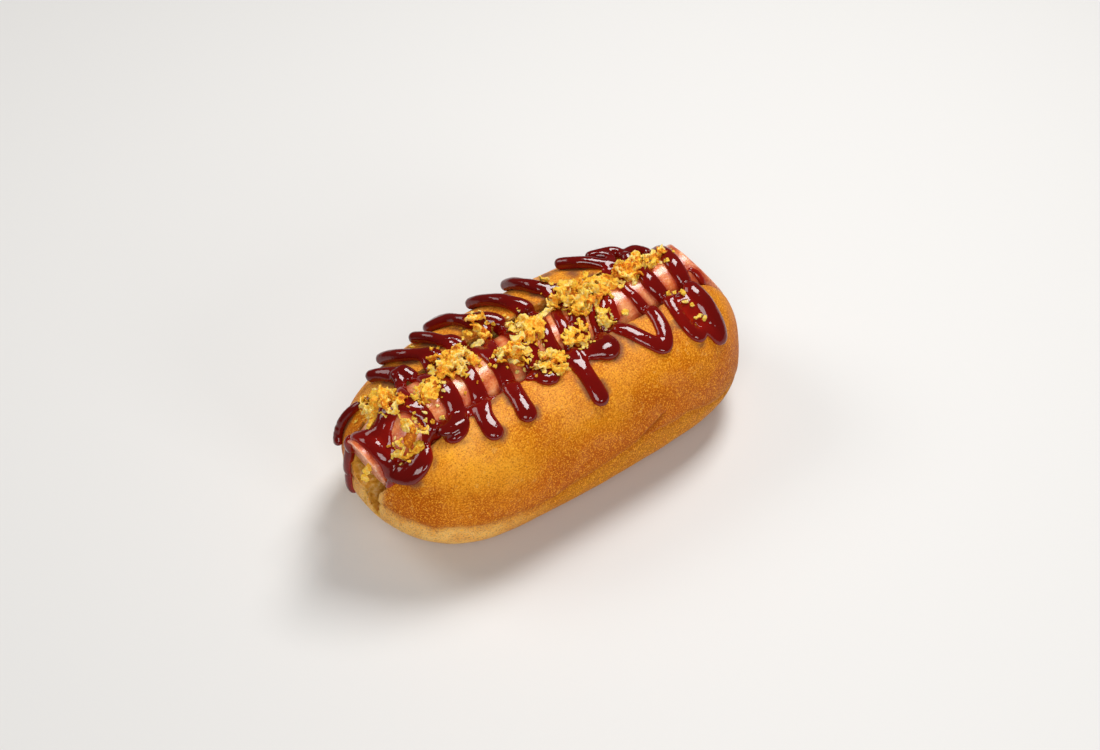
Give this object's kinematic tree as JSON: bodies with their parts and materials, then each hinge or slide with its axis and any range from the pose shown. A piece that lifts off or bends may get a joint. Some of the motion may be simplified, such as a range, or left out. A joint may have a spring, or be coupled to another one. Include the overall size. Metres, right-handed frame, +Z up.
{
  "type": "hot dog",
  "caption": "Frankfurter in a split milk-bread bun, with barbecue sauce zigzagged over it and clumps of crisp fried onion; rests on the bun's flat underside.",
  "frame": {"origin": "centre of the bun's flat underside", "axes": "+X along the bun, from the end where the sausage is flush to the end where it leans back; +Z up; +Y across the bun"},
  "size_m": [0.1526, 0.0734, 0.0645],
  "materials": {
    "bun_crust": "satin golden-brown baked crust with pale crumb in the split",
    "frankfurter_skin": "glossy smoked casing, with a paler pink cut face",
    "barbecue_sauce": "wet, very glossy dark red-brown",
    "fried_onion": "dry crisp golden flakes, browned at the edges"
  },
  "bodies": {
    "root": {"bun": "bun_crust", "frankfurter": "frankfurter_skin", "sauce": "barbecue_sauce", "onion_clump_01": "fried_onion", "onion_clump_02": "fried_onion", "onion_clump_03": "fried_onion", "onion_clump_04": "fried_onion", "onion_clump_05": "fried_onion", "onion_clump_06": "fried_onion", "onion_clump_07": "fried_onion", "onion_clump_08": "fried_onion", "onion_clump_09": "fried_onion", "onion_clump_10": "fried_onion", "onion_clump_11": "fried_onion", "onion_clump_12": "fried_onion"}
  },
  "joints": []
}
